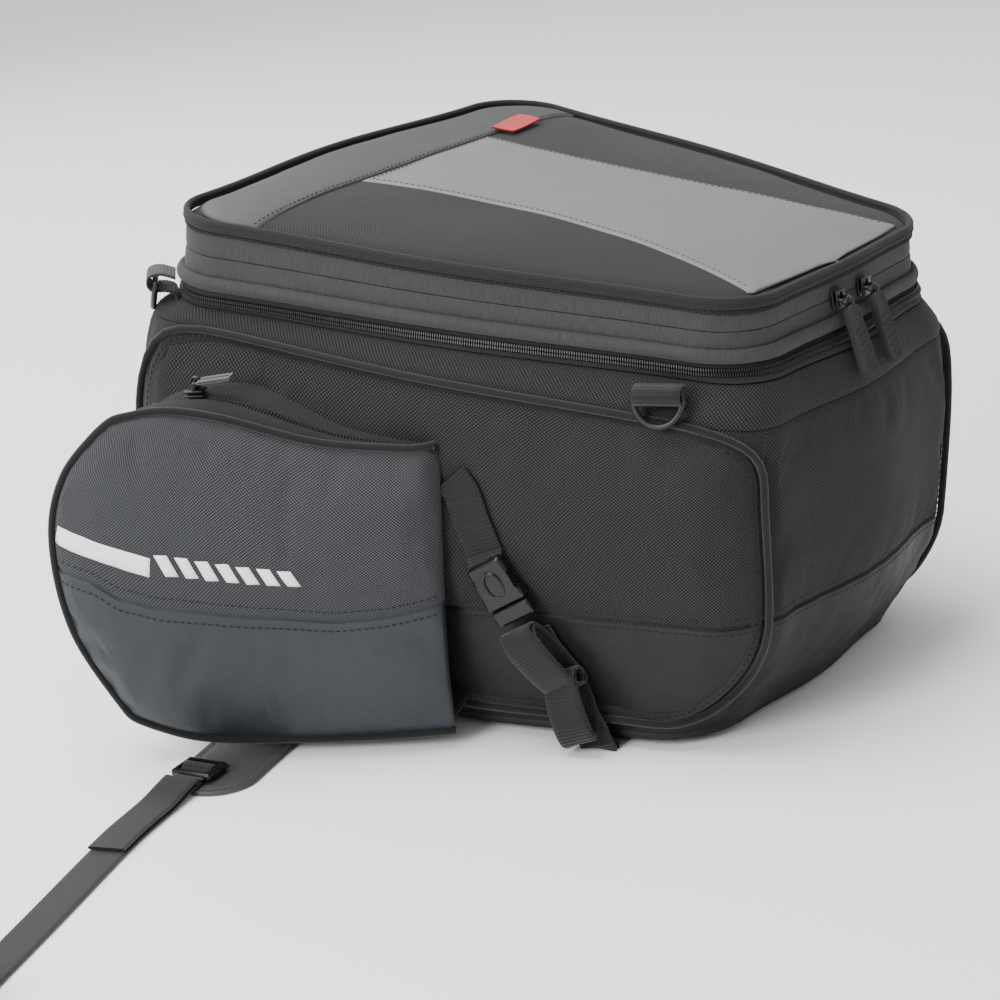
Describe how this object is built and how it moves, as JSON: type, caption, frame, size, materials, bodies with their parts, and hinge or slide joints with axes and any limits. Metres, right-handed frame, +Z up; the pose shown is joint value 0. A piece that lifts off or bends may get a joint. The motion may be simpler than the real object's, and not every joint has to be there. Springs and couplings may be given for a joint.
{
  "type": "tail bag",
  "caption": "Expandable soft tail bag for a motorcycle seat, with a zipped lid, two flared side pockets, buckled side straps, D-rings and front mounting straps.",
  "frame": {"origin": "on the surface the bag stands on, under the middle of the base's symmetry plane", "axes": "+Y forward on the motorcycle, towards the bag's taller end; +X the rider's right; +Z up"},
  "size_m": [1.0075, 0.3783, 0.2772],
  "materials": {
    "ballistic_fabric": "coarse plain-woven nylon, matt, charcoal",
    "lid_fabric": "fine heathered woven polyester, matt, dark grey",
    "coated_fabric": "PU-coated fabric with a fine leather grain, satin, slate grey",
    "lid_coated_fabric": "PU-coated fabric with a fine grain, semi-gloss, mid grey",
    "binding_tape": "woven binding tape over cord, matt, black",
    "webbing": "ribbed polyester webbing, black",
    "black_plastic": "moulded acetal, satin black",
    "buckle_plastic": "moulded acetal, semi-gloss black",
    "rubber": "soft moulded rubber, black",
    "zip_coil": "nylon coil on woven tape, black",
    "tab_fabric": "folded woven label tape, red, blank",
    "board": "stiff polyethylene board, dark grey"
  },
  "bodies": {
    "bag_body": {"base_panel": "coated_fabric", "base_board": "board", "anti_slip_mat": "rubber", "front_panel": "ballistic_fabric", "rear_panel": "ballistic_fabric", "lower_collar": "ballistic_fabric", "expansion_gusset": "lid_fabric", "side_panel_left": "ballistic_fabric", "side_panel_right": "ballistic_fabric", "side_piping_left": "binding_tape", "side_piping_right": "binding_tape", "pocket_panel_left": "coated_fabric", "pocket_panel_right": "coated_fabric", "pocket_gusset_left": "ballistic_fabric", "pocket_gusset_right": "ballistic_fabric", "pocket_piping_left": "binding_tape", "pocket_piping_right": "binding_tape", "ring_loop_rear_left": "webbing", "ring_loop_rear_right": "webbing", "ring_loop_front_left": "webbing", "ring_loop_front_right": "webbing", "rear_strap_upper_left": "webbing", "rear_strap_upper_right": "webbing", "rear_strap_lower_left": "webbing", "rear_strap_lower_right": "webbing", "buckle_socket_left": "buckle_plastic", "buckle_socket_right": "buckle_plastic", "front_tab_left": "coated_fabric", "front_tab_right": "coated_fabric", "front_adjuster_left": "buckle_plastic", "front_adjuster_right": "buckle_plastic", "front_strap_left": "webbing", "front_strap_right": "webbing"},
    "expansion_tier": {"upper_collar": "lid_fabric", "expansion_zipper": "zip_coil", "fold_piping": "binding_tape", "lower_gusset": "lid_fabric"},
    "lid": {"upper_gusset": "lid_fabric", "main_zipper": "zip_coil", "lid_piping": "binding_tape", "lid_panel": "lid_fabric", "lid_centre_panel": "lid_coated_fabric", "lid_tab": "tab_fabric", "lid_board": "board"},
    "expansion_slider": {"expansion_slider": "black_plastic"},
    "expansion_pull": {"expansion_pull": "rubber"},
    "main_slider_left": {"main_slider_left": "black_plastic"},
    "main_pull_left": {"main_pull_left": "rubber"},
    "pocket_slider_left": {"pocket_slider_left": "black_plastic"},
    "pocket_pull_left": {"pocket_pull_left": "webbing"},
    "d_ring_rear_left": {"d_ring_rear_left": "black_plastic"},
    "d_ring_front_left": {"d_ring_front_left": "black_plastic"},
    "buckle_plug_left": {"buckle_plug_left": "buckle_plastic"},
    "main_slider_right": {"main_slider_right": "black_plastic"},
    "main_pull_right": {"main_pull_right": "rubber"},
    "pocket_slider_right": {"pocket_slider_right": "black_plastic"},
    "pocket_pull_right": {"pocket_pull_right": "webbing"},
    "d_ring_rear_right": {"d_ring_rear_right": "black_plastic"},
    "d_ring_front_right": {"d_ring_front_right": "black_plastic"},
    "buckle_plug_right": {"buckle_plug_right": "buckle_plastic"}
  },
  "joints": [
    {"name": "expansion_rise", "type": "slide", "parent": "bag_body", "child": "expansion_tier", "axis": [0, 0, 1], "range_m": [0, 0.05], "deforming": ["expansion_gusset"]},
    {"name": "lid_hinge", "type": "hinge", "parent": "expansion_tier", "child": "lid", "pos_m": [0, 0.1768, 0.256], "axis": [-1, 0, 0], "range_deg": [0, 100]},
    {"name": "expansion_slider_run", "type": "slide", "parent": "bag_body", "child": "expansion_slider", "axis": [1, 0, 0], "range_m": [0, 0.06]},
    {"name": "expansion_pull_swing", "type": "hinge", "parent": "expansion_slider", "child": "expansion_pull", "pos_m": [0, 0.19039, 0.23258], "axis": [1, 0, 0], "range_deg": [0, 120]},
    {"name": "main_slider_run_left", "type": "slide", "parent": "expansion_tier", "child": "main_slider_left", "axis": [1, 0, 0], "range_m": [-0.045, 0]},
    {"name": "main_pull_swing_left", "type": "hinge", "parent": "main_slider_left", "child": "main_pull_left", "pos_m": [-0.01306, -0.16199, 0.21771], "axis": [-1, 0, 0], "range_deg": [0, 140]},
    {"name": "pocket_slider_run_left", "type": "slide", "parent": "bag_body", "child": "pocket_slider_left", "axis": [-0.3841, 0.9229, 0.0276], "range_m": [0, 0.03]},
    {"name": "pocket_pull_swing_left", "type": "hinge", "parent": "pocket_slider_left", "child": "pocket_pull_left", "pos_m": [-0.19715, 0.11294, 0.19801], "axis": [-0.9227, -0.3826, -0.0468], "range_deg": [0, 140]},
    {"name": "d_ring_swing_rear_left", "type": "hinge", "parent": "bag_body", "child": "d_ring_rear_left", "pos_m": [-0.12014, -0.1166, 0.19338], "axis": [-0.3209, 0.9471, 0], "range_deg": [0, 110]},
    {"name": "d_ring_swing_front_left", "type": "hinge", "parent": "bag_body", "child": "d_ring_front_left", "pos_m": [-0.15211, 0.17582, 0.23557], "axis": [0.7358, 0.6772, 0], "range_deg": [0, 110]},
    {"name": "buckle_release_left", "type": "slide", "parent": "bag_body", "child": "buckle_plug_left", "axis": [0.1889, -0.4392, -0.8783], "range_m": [0, 0.022], "deforming": ["rear_strap_lower_left"]},
    {"name": "main_slider_run_right", "type": "slide", "parent": "expansion_tier", "child": "main_slider_right", "axis": [1, 0, 0], "range_m": [0, 0.045]},
    {"name": "main_pull_swing_right", "type": "hinge", "parent": "main_slider_right", "child": "main_pull_right", "pos_m": [0.01306, -0.16199, 0.21771], "axis": [-1, 0, 0], "range_deg": [0, 140]},
    {"name": "pocket_slider_run_right", "type": "slide", "parent": "bag_body", "child": "pocket_slider_right", "axis": [0.3841, 0.9229, 0.0276], "range_m": [0, 0.03]},
    {"name": "pocket_pull_swing_right", "type": "hinge", "parent": "pocket_slider_right", "child": "pocket_pull_right", "pos_m": [0.19715, 0.11294, 0.19801], "axis": [-0.9227, 0.3826, 0.0468], "range_deg": [0, 140]},
    {"name": "d_ring_swing_rear_right", "type": "hinge", "parent": "bag_body", "child": "d_ring_rear_right", "pos_m": [0.12014, -0.1166, 0.19338], "axis": [-0.3209, -0.9471, 0], "range_deg": [0, 110]},
    {"name": "d_ring_swing_front_right", "type": "hinge", "parent": "bag_body", "child": "d_ring_front_right", "pos_m": [0.15211, 0.17582, 0.23557], "axis": [0.7358, -0.6772, 0], "range_deg": [0, 110]},
    {"name": "buckle_release_right", "type": "slide", "parent": "bag_body", "child": "buckle_plug_right", "axis": [-0.1889, -0.4392, -0.8783], "range_m": [0, 0.022], "deforming": ["rear_strap_lower_right"]}
  ]
}
